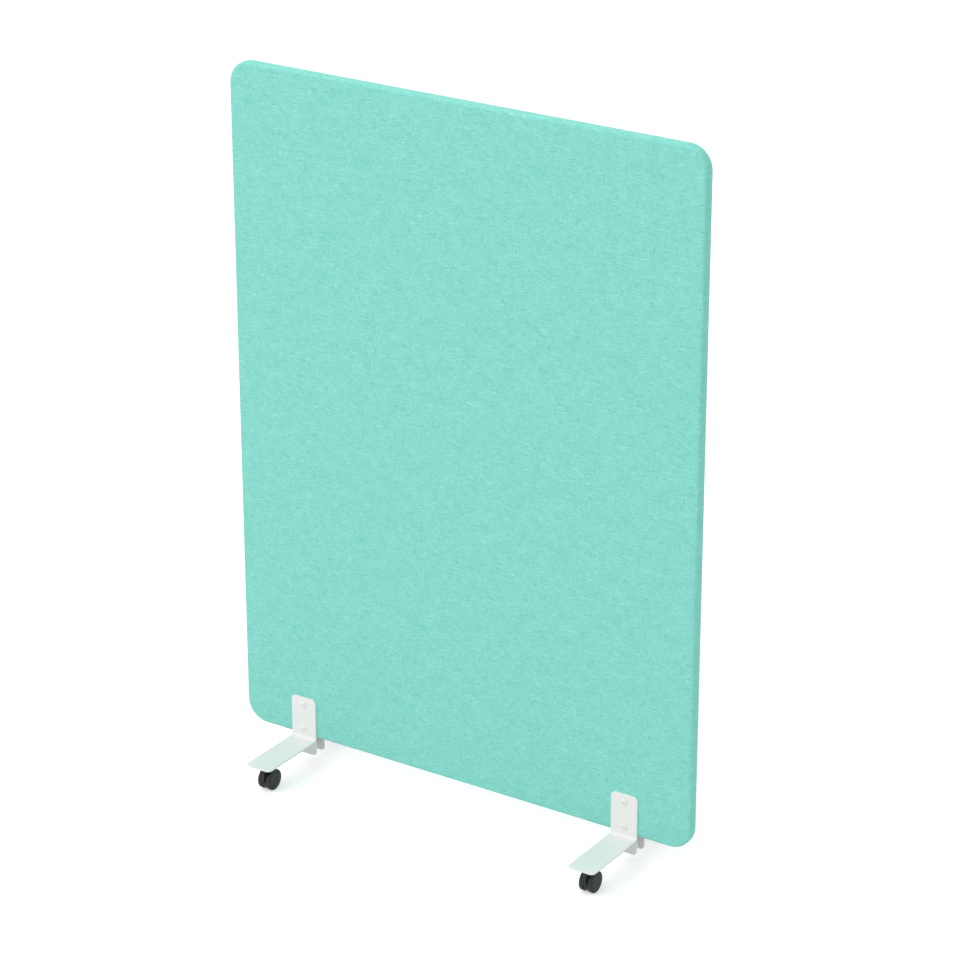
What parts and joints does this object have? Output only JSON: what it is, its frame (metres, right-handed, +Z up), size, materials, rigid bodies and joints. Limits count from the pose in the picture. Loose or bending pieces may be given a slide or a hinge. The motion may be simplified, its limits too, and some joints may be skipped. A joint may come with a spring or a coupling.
{
  "type": "acoustic divider screen",
  "caption": "Upright fabric-covered acoustic panel with round corners, on white bracket feet with swivelling twin-wheel castors.",
  "frame": {"origin": "on the floor, under the middle of the screen", "axes": "+Z up, +X along the panel to the right as seen from the front, front face towards -Y"},
  "size_m": [1.2, 0.4, 1.676],
  "materials": {
    "fabric": "matte",
    "foam": "matte",
    "core": "matte",
    "timber": "matte",
    "white_steel": "satin",
    "zinc_steel": "satin",
    "black_plastic": "matte",
    "castor_plastic": "satin",
    "wheel_plastic": "satin"
  },
  "bodies": {
    "screen": {"frame_top_rail": "timber", "frame_bottom_rail": "timber", "frame_left_stile": "timber", "frame_right_stile": "timber", "mounting_block_left": "timber", "mounting_block_right": "timber", "acoustic_core": "core", "front_foam": "foam", "rear_foam": "foam", "fabric_cover": "fabric", "base_closing_strip": "black_plastic", "thread_sleeves_left": "zinc_steel", "thread_sleeves_right": "zinc_steel", "upright_front_left": "white_steel", "upright_front_right": "white_steel", "upright_rear_left": "white_steel", "upright_rear_right": "white_steel", "foot_front_left": "white_steel", "foot_front_right": "white_steel", "foot_rear_left": "white_steel", "foot_rear_right": "white_steel", "screws_front_left": "white_steel", "screws_front_right": "white_steel", "screws_rear_left": "white_steel", "screws_rear_right": "white_steel", "castor_boss_front_left": "white_steel", "castor_boss_front_right": "white_steel", "castor_boss_rear_left": "white_steel", "castor_boss_rear_right": "white_steel", "castor_stem_front_left": "zinc_steel", "castor_stem_front_right": "zinc_steel", "castor_stem_rear_left": "zinc_steel", "castor_stem_rear_right": "zinc_steel"},
    "castor_front_left": {"castor_hood_front_left": "castor_plastic", "axle_front_left": "zinc_steel"},
    "left_wheel_of_castor_front_left": {"left_wheel_front_left": "wheel_plastic"},
    "right_wheel_of_castor_front_left": {"right_wheel_front_left": "wheel_plastic"},
    "castor_front_right": {"castor_hood_front_right": "castor_plastic", "axle_front_right": "zinc_steel"},
    "left_wheel_of_castor_front_right": {"left_wheel_front_right": "wheel_plastic"},
    "right_wheel_of_castor_front_right": {"right_wheel_front_right": "wheel_plastic"},
    "castor_rear_left": {"castor_hood_rear_left": "castor_plastic", "axle_rear_left": "zinc_steel"},
    "left_wheel_of_castor_rear_left": {"left_wheel_rear_left": "wheel_plastic"},
    "right_wheel_of_castor_rear_left": {"right_wheel_rear_left": "wheel_plastic"},
    "castor_rear_right": {"castor_hood_rear_right": "castor_plastic", "axle_rear_right": "zinc_steel"},
    "left_wheel_of_castor_rear_right": {"left_wheel_rear_right": "wheel_plastic"},
    "right_wheel_of_castor_rear_right": {"right_wheel_rear_right": "wheel_plastic"}
  },
  "joints": [
    {"name": "swivel_front_left", "type": "hinge", "parent": "screen", "child": "castor_front_left", "pos_m": [-0.434, -0.173, 0.055], "axis": [0, 0, 1], "continuous": true},
    {"name": "left_roll_front_left", "type": "hinge", "parent": "castor_front_left", "child": "left_wheel_of_castor_front_left", "pos_m": [-0.434, -0.155, 0.025], "axis": [1, 0, 0], "continuous": true},
    {"name": "right_roll_front_left", "type": "hinge", "parent": "castor_front_left", "child": "right_wheel_of_castor_front_left", "pos_m": [-0.434, -0.155, 0.025], "axis": [1, 0, 0], "continuous": true},
    {"name": "swivel_front_right", "type": "hinge", "parent": "screen", "child": "castor_front_right", "pos_m": [0.434, -0.173, 0.055], "axis": [0, 0, 1], "continuous": true},
    {"name": "left_roll_front_right", "type": "hinge", "parent": "castor_front_right", "child": "left_wheel_of_castor_front_right", "pos_m": [0.434, -0.155, 0.025], "axis": [1, 0, 0], "continuous": true},
    {"name": "right_roll_front_right", "type": "hinge", "parent": "castor_front_right", "child": "right_wheel_of_castor_front_right", "pos_m": [0.434, -0.155, 0.025], "axis": [1, 0, 0], "continuous": true},
    {"name": "swivel_rear_left", "type": "hinge", "parent": "screen", "child": "castor_rear_left", "pos_m": [-0.434, 0.173, 0.055], "axis": [0, 0, 1], "continuous": true},
    {"name": "left_roll_rear_left", "type": "hinge", "parent": "castor_rear_left", "child": "left_wheel_of_castor_rear_left", "pos_m": [-0.434, 0.155, 0.025], "axis": [1, 0, 0], "continuous": true},
    {"name": "right_roll_rear_left", "type": "hinge", "parent": "castor_rear_left", "child": "right_wheel_of_castor_rear_left", "pos_m": [-0.434, 0.155, 0.025], "axis": [1, 0, 0], "continuous": true},
    {"name": "swivel_rear_right", "type": "hinge", "parent": "screen", "child": "castor_rear_right", "pos_m": [0.434, 0.173, 0.055], "axis": [0, 0, 1], "continuous": true},
    {"name": "left_roll_rear_right", "type": "hinge", "parent": "castor_rear_right", "child": "left_wheel_of_castor_rear_right", "pos_m": [0.434, 0.155, 0.025], "axis": [1, 0, 0], "continuous": true},
    {"name": "right_roll_rear_right", "type": "hinge", "parent": "castor_rear_right", "child": "right_wheel_of_castor_rear_right", "pos_m": [0.434, 0.155, 0.025], "axis": [1, 0, 0], "continuous": true}
  ]
}
